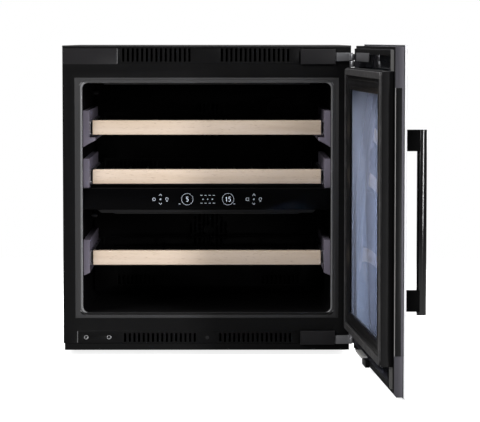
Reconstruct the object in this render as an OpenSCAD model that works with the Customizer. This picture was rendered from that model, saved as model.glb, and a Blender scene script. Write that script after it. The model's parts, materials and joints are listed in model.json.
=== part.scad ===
// Built-in two-zone wine cooler, millimetres.
// X runs across the front, Y from the front plane back into the cabinet, Z up from the floor.
// The origin is on the floor, under the middle of the cabinet's front plane.
// Heights are counted from the cabinet's base, and lift() raises them by the height of the feet.

/* [Cabinet] */
// Width of the cabinet body
cab_w = 556; // [552:1:560]
// Depth of the cabinet body behind its front plane
cab_d = 540; // [540:1:560]
// Height of the feet below the base
foot_out = 10; // [9.5:0.5:16]

/* [Door] */
// How far the door stands open, in degrees
door_open = 93.4; // [0:0.1:110]
// Width of the door's outer glass
door_w = 592; // [590:1:596]
// Thickness of the door's outer glass
glass_t = 4; // [3:0.5:4]

/* [Handle] */
// Radius of the handle bar
bar_r = 8.4; // [7:0.1:10]
// Distance from the outer glass to the bar's axis
bar_out = 27.7; // [24:0.1:36]
// Height of the bar's lower end above the base
bar_z0 = 134; // [100:1:138]
// Height of the bar's upper end above the base
bar_z1 = 449; // [449:1:480]

/* [Shelves] */
// Width of the wooden front boards
board_w = 444; // [443:1:444]
// Height of the wooden front boards
board_h = 28; // [27:0.5:28]
// Thickness of the wooden front boards
board_t = 18; // [12:1:18]
// Lower edge of the top shelf's board above the base
shelf_top_z = 417; // [415:1:417]
// Lower edge of the middle shelf's board above the base
shelf_middle_z = 321.6; // [321:0.1:323]
// Lower edge of the bottom shelf's board above the base
shelf_bottom_z = 163.6; // [155:0.1:170]

/* [Fans] */
// Blades on each circulation fan
fan_blades = 7; // [5:1:9]
// Blades on the condenser fan
condenser_blades = 5; // [4:1:7]

/* [Hidden] */

$fn = 48;
e = 0.5;                        // a cut's run past a face
half_w = cab_w / 2;
sheet = 1.2;                    // steel sheet
in_w = half_w - sheet;          // half width inside the shell

// heights on the front, from the base up
base_h = 13.6;
plinth_z = 38;
flange_z0 = 62.6;
open_z0 = 72.9;
open_z1 = 518.6;
flange_z1 = 528;
grille_z = 554;
cap_z = 586;
cab_h = 590;

// front frame, grilles and covers
frame_d = 22;
flange_w = 254.8;               // half width of the liner's front flange
blank_x = -172.3;               // right end of the blank cover
cover_x0 = 181;                 // left end of the hinge covers
cover_x1 = 248;
leg_x = 251;
slot_w = 4.2;
panel_t = 3;

// liner and what surrounds it
open_w = 240.4;                 // half width of the opening
open_r = 12;
liner_t = 2;
low_d = 375;                    // depth of the lower zone
up_d = 470;                     // depth of the upper zone
divider_z0 = 272.5;             // underside of the divider, and the top of the step
divider_z1 = 313.8;
foam_z0 = 42;
foam_z1 = 550;
foam_y1 = 497;
bay_y = 400;                    // front of the machine bay
bay_z = 238;                    // top of the machine bay

// shelves and slides
shelf_y = 25;                   // front face of the boards
slide_y0 = 30;
slide_len = 300;
upper_rack_d = 347;
lower_rack_d = 292;
bracket_x = 228;                // inner face of the rail brackets
slide_h = 27;

// door, as it stands when it is closed
pivot = [280, -16.5];
pin_r = 2.5;
door_t = 45;
glass_z0 = -8.6;
glass_z1 = 592.3;
glass_back = -door_t + glass_t;
flange_back = -25;              // back of the outer frame's flange
carrier_y = -19.5;              // back of the outer frame's raised carrier
seal_y = -4.5;                  // front of the gasket, and back of the inner frame
inner_x = 276;                  // half width of the inner frame
inner_z0 = 44;
inner_z1 = 548;
window_x = 216;
window_z0 = 82;
window_z1 = 507;
pane_y0 = -25;
pane_y1 = -9;
bar_x = -279;

// fans
fan_z = [430, 205];             // heights of the upper and lower fan
fan_wall = [up_d, low_d];       // the wall that each fan's motor stands on
fan_r = [38, 38];
cond_x = 100;
cond_z = 95;

// ------------------------------------------------------------------ helpers

module lift() translate([0, 0, foot_out]) children();

module box(x, y, z) translate([x[0], y[0], z[0]]) cube([x[1] - x[0], y[1] - y[0], z[1] - z[0]]);

module both_sides() {
    children();
    mirror([1, 0, 0]) children();
}

// an outline of [Y, Z] points, extruded from x[0] to x[1]
module along_x(outline, x)
    translate([x[0], 0, 0]) rotate([90, 0, 90]) linear_extrude(x[1] - x[0]) polygon(outline);

// an outline of [X, Z] points, extruded from y[0] to y[1]
module along_y(outline, y)
    translate([0, y[1], 0]) rotate([90, 0, 0]) linear_extrude(y[1] - y[0]) polygon(outline);

module rod_x(x, y, z, r) translate([x[0], y, z]) rotate([0, 90, 0]) cylinder(h = x[1] - x[0], r = r);

module rod_y(x, y, z, r) translate([x, y[0], z]) rotate([-90, 0, 0]) cylinder(h = y[1] - y[0], r = r);

module rod_z(x, y, z, r) translate([x, y, z[0]]) cylinder(h = z[1] - z[0], r = r);

// a rectangle with round corners in the X-Z plane, of half width w, extruded from y[0] to y[1]
module round_prism(w, y, z, r)
    translate([0, y[1], 0]) rotate([90, 0, 0]) linear_extrude(y[1] - y[0]) union() {
        translate([r - w, z[0]]) square([2 * (w - r), z[1] - z[0]]);
        translate([-w, z[0] + r]) square([2 * w, z[1] - z[0] - 2 * r]);
        for (sx = [-1, 1], zc = [z[0] + r, z[1] - r]) translate([sx * (w - r), zc]) circle(r);
    }

// a frame: half width w and heights z outside, with a border b
module ring(w, y, z, b) difference() {
    box([-w, w], y, z);
    box([b - w, w - b], [y[0] - e, y[1] + e], [z[0] + b, z[1] - b]);
}

module hinged() translate([pivot[0], pivot[1], foot_out])
    rotate([0, 0, door_open]) translate([-pivot[0], -pivot[1], 0]) children();

// n upright slots centred on x
module slots(x, n, pitch, y, z)
    for (i = [0 : n - 1]) translate([x + (i - (n - 1) / 2) * pitch, 0, 0])
        box([-slot_w / 2, slot_w / 2], y, z);

// an axial fan's rotor on the axis Y, from the origin: bore, hub and pitched blades
module rotor(n, hub_r, tip_r, w, bore_r) difference() {
    union() {
        rod_y(0, [0, w], 0, hub_r);
        intersection() {
            rod_y(0, [0, w], 0, tip_r);
            for (i = [0 : n - 1]) rotate([0, 360 * i / n, 0]) translate([hub_r - 1, w / 2, 0])
                rotate([38, 0, 0]) box([0, tip_r], [-0.8, 0.8], [-tip_r / 2.6, tip_r / 2.6]);
        }
    }
    rod_y(0, [-e, w - 2], 0, bore_r);
}

// the liner's inner space, grown by g, from y0 back
module cavity(g, y0) intersection() {
    round_prism(open_w + g, [y0, up_d + g], [open_z0 - g, open_z1 + g], open_r + g);
    along_x([[y0, open_z0 - g], [low_d + g, open_z0 - g], [low_d + g, divider_z0 - g],
             [up_d + g, divider_z0 - g], [up_d + g, open_z1 + g], [y0, open_z1 + g]],
            [-open_w - g, open_w + g]);
}

// ------------------------------------------------------------------ cabinet

module outer_shell() color("#26262a") lift() difference() {
    box([-half_w, half_w], [frame_d, cab_d - sheet], [base_h, cab_h]);
    box([-in_w, in_w], [frame_d - e, cab_d], [base_h - e, cab_h - sheet]);
}

insert_x = [-234.4, -190.1];
insert_z = 25;
hinge_hole_x = [194, 234];

module front_frame() color("#1b1b1d") lift() difference() {
    union() {
        box([-half_w, half_w], [0, frame_d], [plinth_z, grille_z]);
        box([-half_w, -leg_x], [0, frame_d], [base_h, plinth_z]);
        box([-leg_x, insert_x[1] + 14], [panel_t, frame_d], [base_h, plinth_z]);
        box([cover_x0, half_w], [0, frame_d], [base_h, plinth_z]);
        box([cover_x0, half_w], [0, frame_d], [grille_z, cap_z]);
        box([-half_w, blank_x], [panel_t, frame_d], [grille_z, cap_z]);
    }
    box([-flange_w, flange_w], [-e, liner_t], [flange_z0, flange_z1]);
    round_prism(open_w + 5, [0, frame_d + e], [open_z0 - 5, open_z1 + 5], open_r + 5);
    for (x = hinge_hole_x, z = hinge_plate_mid) rod_y(x, [-e, 15], z, 2);
    for (x = insert_x) rod_y(x, [0, frame_d + e], insert_z, 3.5);
}

module top_cap() color("#111113") lift()
    along_x([[-3, cap_z], [frame_d, cap_z], [frame_d, cab_h], [-1.5, cab_h], [-3, cab_h - 1.5]],
            [-half_w, half_w]);

module top_grille() color("#161618") lift() difference() {
    box([blank_x, cover_x0], [0, panel_t], [grille_z, cap_z]);
    for (x = [-97, 93]) slots(x, 15, 9.1, [-e, panel_t + e], [559, 584]);
}

module plinth_grille() color("#161618") lift() difference() {
    box([-leg_x, cover_x0], [0, panel_t], [base_h, plinth_z]);
    for (x = [-91.3, 93.6]) slots(x, 16, 9, [-e, panel_t + e], [16, 33]);
    for (x = insert_x) rod_y(x, [-e, panel_t + e], insert_z, 4.6);
}

foot_x = 260;
foot_y = 100;
foot_bore_r = 4.05;

module base_pan() color("#0e0e10") lift() difference() {
    union() {
        difference() {
            box([-276, 276], [2, cab_d - sheet], [0, base_h]);
            box([-274.5, 274.5], [3.5, cab_d - 2.7], [1.5, base_h + e]);
        }
        both_sides() rod_z(foot_x, foot_y, [1.5, 12], 9);
    }
    both_sides() rod_z(foot_x, foot_y, [-e, 12 + e], foot_bore_r);
    for (x = [-180 : 24 : 180], y = [430, 460, 490]) rod_z(x, y, [-e, 2], 4);
}

// a threaded foot: its pad below the base, its stem in the pan's boss
module foot(x) lift() {
    rod_z(x, foot_y, [-foot_out, -0.4], 15);
    rod_z(x, foot_y, [-0.4, 26], 4);
}

module front_left_foot() color("#1a1a1a") foot(-foot_x);
module front_right_foot() color("#1a1a1a") foot(foot_x);
module rear_feet() color("#1a1a1a") lift() both_sides() rod_z(foot_x - 20, cab_d - 40, [-foot_out, 0], 16);

// hinges: a plate on the frame, an arm, and a knuckle that holds the pin; z is the plate's span
upper_plate = [560, 576];
lower_plate = [13, 29];
hinge_plate_mid = [568, 21];

module bracket(z, knuckle) difference() {
    union() {
        box([186, 250], [-3, 0], z);
        box([250, 281], [-9, 0], z);
        box([274, 281], [pivot[1], -9], knuckle);
        rod_z(pivot[0], pivot[1], knuckle, 5.5);
    }
    rod_z(pivot[0], pivot[1], [knuckle[0] - e, knuckle[1] + e], pin_r);
    for (x = hinge_hole_x) rod_y(x, [-4, e], (z[0] + z[1]) / 2, 2);
}

module cabinet_hinge_brackets() color("#8f8f96") lift() {
    bracket(upper_plate, [562, 574]);
    bracket(lower_plate, [16, 28]);
}

module hinge_pins() color("#c8c8cc") lift() {
    rod_z(pivot[0], pivot[1], [548.6, 574], pin_r);
    rod_z(pivot[0], pivot[1], [16, 41.5], pin_r);
}

// the screws of both hinges, and the two inserts for a lower hinge on the other side
module hinge_fasteners() color("#b4b4b8") lift() {
    for (x = hinge_hole_x, z = hinge_plate_mid) {
        rod_y(x, [-5, -3], z, 4);
        rod_y(x, [-3, 14], z, 2);
    }
    for (x = insert_x) difference() {
        union() {
            rod_y(x, [1, panel_t], insert_z, 4.5);
            rod_y(x, [panel_t, 18], insert_z, 3.5);
        }
        rod_y(x, [0, 18 + e], insert_z, 2.5);
    }
}

// a hollow cap over a hinge plate, open at the back and where the arm leaves
module hinge_cover(z, plate) difference() {
    box([cover_x0, cover_x1], [-8, 0], z);
    box([cover_x0 + 2, cover_x1 - 2], [-6, e], [z[0] + 2, z[1] - 2]);
    box([cover_x0 + 2, cover_x1 + e], [-4, e], [plate[0] - 0.5, plate[1] + 0.5]);
}

// the blank cover at the top left and the caps over both hinges
module front_covers() color("#26262a") lift() {
    box([-half_w, blank_x], [0, panel_t], [grille_z, cap_z]);
    hinge_cover([554, 583], upper_plate);
    hinge_cover([11.2, 37.6], lower_plate);
}

// ------------------------------------------------------------------ liner and foam

module liner() color("#3a3a3e") lift() difference() {
    union() {
        box([-flange_w, flange_w], [0, liner_t], [flange_z0, flange_z1]);
        cavity(liner_t, 1);
    }
    cavity(0, -1);
    // shaft and wire holes behind the two fans
    for (i = [0, 1]) rod_y(40, [fan_wall[i] - e, fan_wall[i] + 3], fan_z[i], 4);
}

foam = [[frame_d, foam_z0], [bay_y, foam_z0], [bay_y, bay_z], [foam_y1, bay_z],
        [foam_y1, foam_z1], [frame_d, foam_z1]];

module insulation() color("#e8d9a8") lift() difference() {
    along_x(foam, [-in_w, in_w]);
    cavity(liner_t, 0);
    box([-200, 200], [up_d + liner_t - e, up_d + 9], [320, 505]);
    box([-200, 200], [low_d + liner_t - e, low_d + 9], [90, 260]);
}

module bay_bulkhead() color("#a9a9ad") lift()
    along_x([[frame_d, foam_z0 - 1], [bay_y + 1, foam_z0 - 1], [bay_y + 1, bay_z - 1],
             [foam_y1 + 1, bay_z - 1], [foam_y1 + 1, foam_z1 + 1], [frame_d, foam_z1 + 1],
             [frame_d, foam_z1], [foam_y1, foam_z1], [foam_y1, bay_z], [bay_y, bay_z],
             [bay_y, foam_z0], [frame_d, foam_z0]], [-in_w, in_w]);

inlet_x = 225;
inlet_z = 70;

bay_cover_x = 200;              // right end of the machine bay's cover
bay_cover_z = 242;

// the back sheet, the machine bay's slotted cover, and the small plate round the mains inlet
module rear_panels() color("#2b2b2e") lift() difference() {
    union() {
        box([-half_w, half_w], [cab_d - sheet, cab_d], [bay_cover_z + 0.5, cab_h]);
        box([-half_w, bay_cover_x], [cab_d - sheet, cab_d], [base_h, bay_cover_z]);
        box([bay_cover_x + 0.5, half_w], [cab_d - sheet, cab_d], [base_h, bay_cover_z]);
    }
    for (row = [0 : 3]) slots(-40, 30, 9.5, [cab_d - 2, cab_d + e], [50 + 40 * row, 78 + 40 * row]);
    box([inlet_x - 14, inlet_x + 14], [cab_d - 2, cab_d + e], [inlet_z - 10.5, inlet_z + 10.5]);
}

// ------------------------------------------------------------------ interior

module rail_brackets() color("#6a6478") lift() both_sides() {
    along_y([[-open_w, 392.5], [-bracket_x, 400], [-216, 406], [-216, 412], [-bracket_x, 412],
             [-bracket_x, 464], [-open_w, 464]], [shelf_y, 345]);
    along_y([[-open_w, divider_z1], [-bracket_x, divider_z1], [-bracket_x, 370], [-open_w, 370]],
            [shelf_y, 345]);
    along_y([[-open_w, 142.5], [-bracket_x, 148], [-bracket_x, 212.5], [-open_w, 212.5]],
            [shelf_y, 345]);
}

// one C-shaped slide member: web from x[0] to x[1], lips reaching lip_x, half height h, wall t
module c_member(x, lip_x, h, t, zc, y) {
    box(x, y, [zc - h, zc + h]);
    for (z = [[zc - h, zc - h + t], [zc + h - t, zc + h]])
        box([min(x[0], lip_x), max(x[1], lip_x)], y, z);
}

shelf_zs = [shelf_top_z, shelf_middle_z, shelf_bottom_z];
rack_x = board_w / 2;
function mid_z(z) = z + board_h / 2;

module slide_outer_members() color("#b9b9c0") lift() for (z = shelf_zs) both_sides()
    c_member([-bracket_x, 1 - bracket_x], -223.2, slide_h / 2, 1, mid_z(z),
             [slide_y0, slide_y0 + slide_len]);

module slide_middle(z) color("#b9b9c0") lift() both_sides()
    c_member([-226.6, -225.8], -223.4, slide_h / 2 - 1.4, 0.8, mid_z(z),
             [slide_y0 + 2, slide_y0 + slide_len]);

module slide_middle_upper() slide_middle(shelf_zs[0]);
module slide_middle_centre() slide_middle(shelf_zs[1]);
module slide_middle_lower() slide_middle(shelf_zs[2]);

module slide_inner(z) color("#b9b9c0") lift() both_sides()
    c_member([-223, -rack_x], -225.4, slide_h / 2 - 2.6, 0.8, mid_z(z),
             [shelf_y + board_t, slide_y0 + slide_len]);

module slide_inner_upper() slide_inner(shelf_zs[0]);
module slide_inner_centre() slide_inner(shelf_zs[1]);
module slide_inner_lower() slide_inner(shelf_zs[2]);

module shelf_board(z) color("#d9c3ae") lift()
    box([-rack_x, rack_x], [shelf_y, shelf_y + board_t], [z, z + board_h]);

module shelf_board_upper() shelf_board(shelf_zs[0]);
module shelf_board_centre() shelf_board(shelf_zs[1]);
module shelf_board_lower() shelf_board(shelf_zs[2]);

rack_wire_r = 2;
rack_rod_r = 3;
rack_pitch = 36;
rack_rod_z = 9;                 // height of the cross rods' axis above a board's lower edge
rack_stop_z = 30;

// the steel wire rack behind a board: side strips, a front strip, cross rods, wires and a rear stop
module shelf_rack(z, depth) color("#18181a") lift() {
    y0 = shelf_y + board_t;
    rod_x_end = rack_x - 2;
    union() {
        both_sides() box([rack_x - 2.5, rack_x], [y0, y0 + depth], [z + 4, z + 24]);
        box([-rod_x_end, rod_x_end], [y0, y0 + 1.5], [z + 4, z + 17]);
        for (y = [y0 + 4, y0 + depth / 2, y0 + depth - 4])
            rod_x([-rod_x_end, rod_x_end], y, z + rack_rod_z, rack_rod_r);
        for (i = [-5.5 : 1 : 5.5])
            rod_y(i * rack_pitch, [y0 + 1, y0 + depth], z + rack_rod_z + 4.4, rack_wire_r);
        rod_x([-rod_x_end, rod_x_end], y0 + depth - 4, z + rack_stop_z, rack_wire_r);
        for (x = [-216, -108, 0, 108, 216])
            rod_z(x, y0 + depth - 4, [z + rack_rod_z, z + rack_stop_z], rack_wire_r);
    }
}

module shelf_rack_upper() shelf_rack(shelf_zs[0], upper_rack_d);
module shelf_rack_centre() shelf_rack(shelf_zs[1], upper_rack_d);
module shelf_rack_lower() shelf_rack(shelf_zs[2], lower_rack_d);

divider_y = 16;
lip_x = 205;

module zone_divider() color("#141416") lift() difference() {
    union() {
        box([-open_w, open_w], [divider_y, up_d], [divider_z0, divider_z1]);
        along_y([[-lip_x - 7, divider_z0], [-lip_x, 266], [lip_x, 266], [lip_x + 7, divider_z0]],
                [divider_y - 3, 60]);
    }
    box([-190, 190], [divider_y - e, divider_y + 12], [278, 308]);
    for (y = [80, 110]) rod_z(60, y, [divider_z0 - e, divider_z1 + e], 4);
}

module control_glass() color("#0a0a0c") lift()
    box([-open_w, open_w], [divider_y - 4, divider_y], [divider_z0, divider_z1]);

board_gap = 13;                 // from the shell to the power board

// the touch and display board in the divider, and the power board on the machine bay's wall
module circuit_boards() color("#1f5a34") lift() {
    box([-180, 180], [divider_y + 2, divider_y + 3.6], [280, 306]);
    for (x = [-135, -70, 0, 60, 140])
        box([x - 6, x + 6], [divider_y + 3.6, divider_y + 6], [287, 299]);
    box([in_w - board_gap - 1.6, in_w - board_gap], [410, 500], [20, 120]);
    for (y = [418, 492], z = [28, 112]) rod_x([in_w - board_gap, in_w], y, z, 3);
    for (y = [425, 455], z = [40, 80])
        box([in_w - board_gap - 24, in_w - board_gap - 1.6], [y, y + 22], [z, z + 28]);
}

guard_r = 40;

// a back panel: a shallow cover with a rim back to the wall, vents and the fan's slotted guard
module back_panel(y, wall, z, fan) difference() {
    box([-236, 236], [y, wall], z);
    box([-233, 233], [y + 3, wall + e], [z[0] + 3, z[1] - 3]);
    for (i = [-4 : 4]) {
        half = sqrt(guard_r * guard_r - pow(9 * i, 2));
        translate([i * 9, 0, 0]) box([-2.5, 2.5], [y - e, y + 4], [fan - half, fan + half]);
    }
    for (x = [-150, 150], i = [-4 : 4]) translate([x + i * 9, 0, 0])
        box([-2.5, 2.5], [y - e, y + 4], [z[0] + 12, z[0] + 32]);
}

filter_x = 150;
filter_z = 450;
filter_r = 28;

module back_panels() color("#2a2a2d") lift() {
    difference() {
        back_panel(440, up_d, [318, 512], fan_z[0]);
        rod_y(filter_x, [440 - e, 444], filter_z, filter_r);
    }
    back_panel(347, low_d, [80, 264], fan_z[1]);
}

module charcoal_filter() color("#3c3c40") lift() {
    rod_y(filter_x, [438, 452], filter_z, filter_r);
    box([filter_x - 3, filter_x + 3], [434, 438], [filter_z - 16, filter_z + 16]);
}

// roll-bond plates on the back of the liner, with their channels
module evaporator(y, z) {
    box([-195, 195], [y, y + 2], z);
    for (k = [0 : 5]) rod_x([-185, 185], y + 3, z[0] + 15 + k * (z[1] - z[0] - 30) / 5, 2.5);
}

module evaporators() color("#c2c6ca") lift() {
    evaporator(up_d + liner_t, [330, 495]);
    evaporator(low_d + liner_t, [100, 250]);
}

shaft_r = 1.5;

module circulation_fan_motors() color("#202022") lift() for (i = [0, 1]) {
    rod_y(0, [fan_wall[i] - 8, fan_wall[i]], fan_z[i], 14);
    rod_y(0, [fan_wall[i] - 18, fan_wall[i] - 8], fan_z[i], shaft_r);
}

module circulation_rotor(i) color("#303034") lift()
    translate([0, fan_wall[i] - 9, fan_z[i]]) mirror([0, 1, 0])
        rotor(fan_blades, 11, fan_r[i], 11, shaft_r + 0.05);

module upper_fan_rotor() circulation_rotor(0);
module lower_fan_rotor() circulation_rotor(1);

module led_strips() color("#f4f6ff") lift() {
    box([-200, 200], [24, 34], [open_z1 - 4, open_z1]);
    box([-180, 180], [30, 40], [263, 266]);
}

module temperature_probes() color("#d8d8d8") lift() {
    rod_x([-open_w, -228], 380, 490, 4);
    rod_x([-open_w, -228], 300, 240, 4);
}

// ------------------------------------------------------------------ machine bay

comp_x = -165;
comp_y = 470;

module compressor() color("#19191b") lift() difference() {
    union() {
        translate([comp_x, comp_y, 19.5]) rotate_extrude()
            polygon([[0, 0], [50, 0], [60, 10], [62, 22], [62, 110], [58, 124], [44, 138],
                     [20, 146], [0, 148]]);
        box([comp_x - 90, comp_x + 90], [comp_y - 55, comp_y + 55], [16.5, 19.5]);
        box([comp_x + 58, comp_x + 84], [comp_y - 26, comp_y + 26], [60, 110]);
    }
    for (sx = [-1, 1], sy = [-1, 1]) rod_z(comp_x + 78 * sx, comp_y + 44 * sy, [16, 20], 5);
}

module compressor_grommets() color("#1d1d1d") lift() for (sx = [-1, 1], sy = [-1, 1])
    translate([comp_x + 78 * sx, comp_y + 44 * sy, 0]) {
        rod_z(0, 0, [1.5, 16.5], 10);
        rod_z(0, 0, [16.5, 19.5], 4.9);
    }

fin_x0 = 10;
fin_x1 = 190;

module condenser() color("#b8babd") lift() {
    for (i = [0 : 14]) translate([fin_x0 + i * (fin_x1 - fin_x0 - 1) / 14, 0, 0])
        box([0, 1], [410, 448], [10, 178]);
    for (y = [420, 438], k = [0 : 3]) rod_x([fin_x0 - 6, fin_x1 + 6], y, 30 + 42 * k, 3);
    both_sides_of_condenser() box([fin_x0 - 10, fin_x0 - 6], [406, 452], [1.5, 182]);
}

module both_sides_of_condenser() {
    children();
    translate([fin_x0 + fin_x1, 0, 0]) mirror([1, 0, 0]) children();
}

module condenser_fan_shroud() color("#222224") lift() difference() {
    union() {
        box([fin_x0, fin_x1], [452, 455], [1.5, 182]);
        difference() {
            rod_y(cond_x, [455, 482], cond_z, 74);
            rod_y(cond_x, [454, 483], cond_z, 71);
        }
        box([cond_x - 74, cond_x + 74], [482, 486], [cond_z - 6, cond_z + 6]);
        rod_y(cond_x, [482, 506], cond_z, 22);
        rod_y(cond_x, [466, 482], cond_z, 2);
    }
    rod_y(cond_x, [451, 456], cond_z, 71);
}

module condenser_fan_rotor() color("#303034") lift()
    translate([cond_x, 481, cond_z]) mirror([0, 1, 0])
        rotor(condenser_blades, 18, 66, 18, 2.05);

module drain_tray() color("#35353a") lift() difference() {
    box([comp_x - 70, comp_x + 70], [comp_y - 58, comp_y + 58], [167.5, 190]);
    box([comp_x - 68, comp_x + 68], [comp_y - 56, comp_y + 56], [169.5, 190 + e]);
}

pipe_r = 3;
pipe_top = bay_z - 1;           // where the lines enter the foam
drier = [-25, 470];

// suction line, discharge line, and the liquid line through the filter drier to the capillary
module refrigerant_pipes() color("#b87345") lift() {
    rod_z(-60, 430, [40 - pipe_r, pipe_top], pipe_r);
    rod_x([-116.5, -60], 430, 40, pipe_r);
    rod_x([-107.5, -40], 445, 50, pipe_r);
    rod_y(-40, [430, 445], 50, pipe_r);
    rod_z(-40, 430, [50 - pipe_r, 150 + pipe_r], pipe_r);
    rod_x([-40, fin_x0 - 10], 430, 150, pipe_r);
    rod_x([drier[0], fin_x0 - 10], 438, 30, pipe_r);
    rod_y(drier[0], [438 - pipe_r, drier[1]], 30, pipe_r);
    rod_z(drier[0], drier[1], [20, 110], 9);
    rod_z(drier[0], drier[1], [110, pipe_top], 2);
}

module power_inlet() color("#141414") lift() difference() {
    union() {
        box([inlet_x - 14, inlet_x + 14], [518, cab_d], [inlet_z - 10.5, inlet_z + 10.5]);
        box([inlet_x - 17, inlet_x + 17], [516, 518], [inlet_z - 13, inlet_z + 13]);
    }
    box([inlet_x - 12, inlet_x + 12], [522, cab_d + e], [inlet_z - 8, inlet_z + 8]);
}

// ------------------------------------------------------------------ door

module door_glass() color([0.16, 0.17, 0.2, 0.85]) hinged()
    box([-door_w / 2, door_w / 2], [-door_t, glass_back], [glass_z0, glass_z1]);

wall_x = 293;
carrier_x = 272;
frame_z = [-5.6, 589.3];
carrier_z = [6, 584];

// outer frame: a deep wall behind the glass, a flange, a raised carrier for the inner frame, and
// a chamfer along the lower edge
module door_outer_frame() color("#4b4854") hinged() difference() {
    union() {
        ring(wall_x, [glass_back, flange_back], frame_z, 12);
        difference() {
            box([-wall_x + 1, wall_x - 1], [flange_back - 2, flange_back],
                [frame_z[0] + 1, carrier_z[1]]);
            box([10 - carrier_x, carrier_x - 10], [-30, -20], [carrier_z[0] + 10, carrier_z[1] - 10]);
        }
        ring(carrier_x, [flange_back - 2, carrier_y], carrier_z, 10);
    }
    along_x([[-29, frame_z[0] - e], [-29, frame_z[0]], [-18, 11], [-18, frame_z[0] - e]],
            [-wall_x - e, wall_x + e]);
    for (z = [[547, 577], [12, 43]]) box([carrier_x + 0.5, wall_x - 12], [-42, -20], z);
}

trim_z = [65, 520];

module door_side_trim() color("#151517") hinged()
    box([-wall_x - 1.5, -wall_x], [-38, -26], trim_z);

module door_inner_frame() color("#1e1e20") hinged() difference() {
    box([-inner_x, inner_x], [flange_back, seal_y], [inner_z0, inner_z1]);
    box([-window_x, window_x], [-30, 0], [window_z0, window_z1]);
    box([-window_x - 7, window_x + 7], [-30, pane_y1], [window_z0 - 7, window_z1 + 7]);
    both_sides() box([carrier_x - 10.5, carrier_x + 0.5], [-30, carrier_y + 0.5], [inner_z0 - e, inner_z1 + e]);
}

pane_x = window_x + 6.5;
pane_z = [window_z0 - 6.5, window_z1 + 6.5];
pane_t = 4;

module door_panes() color([0.6, 0.66, 0.78, 0.5]) hinged() {
    box([-pane_x, pane_x], [pane_y0, pane_y0 + pane_t], pane_z);
    box([-pane_x, pane_x], [pane_y1 - pane_t, pane_y1], pane_z);
}

module pane_spacer() color("#8d8f94") hinged()
    ring(pane_x, [pane_y0 + pane_t, pane_y1 - pane_t], pane_z, 8);

module door_gasket() color("#2c2c2e") hinged()
    ring(inner_x - 2, [seal_y, -0.5], [inner_z0 + 2, inner_z1 - 2], 12);

// the door's half of a hinge: a plate on the frame's wall and an eye that turns on the pin
module door_hinge_plate(plate, eye) difference() {
    union() {
        box([277.5, 281], [glass_back, -27.5], [min(plate[0], eye[0]), max(plate[1], eye[1])]);
        box([276, 280.8], [glass_back, pivot[1]], eye);
        rod_z(pivot[0], pivot[1], eye, 5.5);
    }
    rod_z(pivot[0], pivot[1], [eye[0] - e, eye[1] + e], pin_r + 0.05);
}

module door_hinge_plates() color("#6f6f76") hinged() {
    door_hinge_plate(upper_plate, [549, 560]);
    door_hinge_plate(lower_plate, [30, 41.5]);
    // a long leaf at the top, and at the bottom a shelf that ends on the stop block
    box([31, 226], [carrier_y, carrier_y + 2], [560.5, 576.5]);
    box([46, 146], [carrier_y, -8.5], [17, 20]);
    box([12, 66], [carrier_y, -12], [4, 17.5]);
}

post_z = [[413, 449], [140, 176]];

module handle_bar() color("#121214") hinged() difference() {
    rod_z(bar_x, -door_t - bar_out, [bar_z0, bar_z1], bar_r);
    for (z = post_z) rod_y(bar_x, [-door_t - bar_out, -door_t], (z[0] + z[1]) / 2, 3);
}

module handle_standoffs() color("#121214") hinged() for (z = post_z) {
    difference() {
        box([bar_x - 8, bar_x + 8], [-door_t - bar_out, -door_t], z);
        rod_z(bar_x, -door_t - bar_out, [z[0] - e, z[1] + e], bar_r + 0.1);
        box([bar_x - 9, bar_x + 9], [-door_t - bar_out - e, -door_t - bar_out + 4], [z[0] - e, z[1] + e]);
    }
    rod_y(bar_x, [-door_t - bar_out + 1, -door_t - 5], (z[0] + z[1]) / 2, 3);
}

// ------------------------------------------------------------------ output

outer_shell();
front_frame();
top_cap();
top_grille();
front_covers();
plinth_grille();
base_pan();
cabinet_hinge_brackets();
hinge_pins();
hinge_fasteners();
liner();
insulation();
bay_bulkhead();
rear_panels();
rear_feet();
front_left_foot();
front_right_foot();
rail_brackets();
slide_outer_members();
zone_divider();
control_glass();
circuit_boards();
back_panels();
evaporators();
circulation_fan_motors();
upper_fan_rotor();
lower_fan_rotor();
charcoal_filter();
led_strips();
temperature_probes();
compressor();
compressor_grommets();
condenser();
condenser_fan_shroud();
condenser_fan_rotor();
drain_tray();
refrigerant_pipes();
power_inlet();
slide_middle_upper();
slide_middle_centre();
slide_middle_lower();
slide_inner_upper();
slide_inner_centre();
slide_inner_lower();
shelf_board_upper();
shelf_board_centre();
shelf_board_lower();
shelf_rack_upper();
shelf_rack_centre();
shelf_rack_lower();
door_glass();
door_outer_frame();
door_side_trim();
door_inner_frame();
door_panes();
pane_spacer();
door_gasket();
door_hinge_plates();
handle_bar();
handle_standoffs();
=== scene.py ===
"""Looks of a built-in two-zone wine cooler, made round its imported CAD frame.

Metres. X runs across the front, Y from the front plane back, Z up from the floor.
Door pieces are made in the closed position, then swung open about the frame's own hinge.
"""
import json
import math

import bmesh
import bpy
from mathutils import Matrix, Vector


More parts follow.
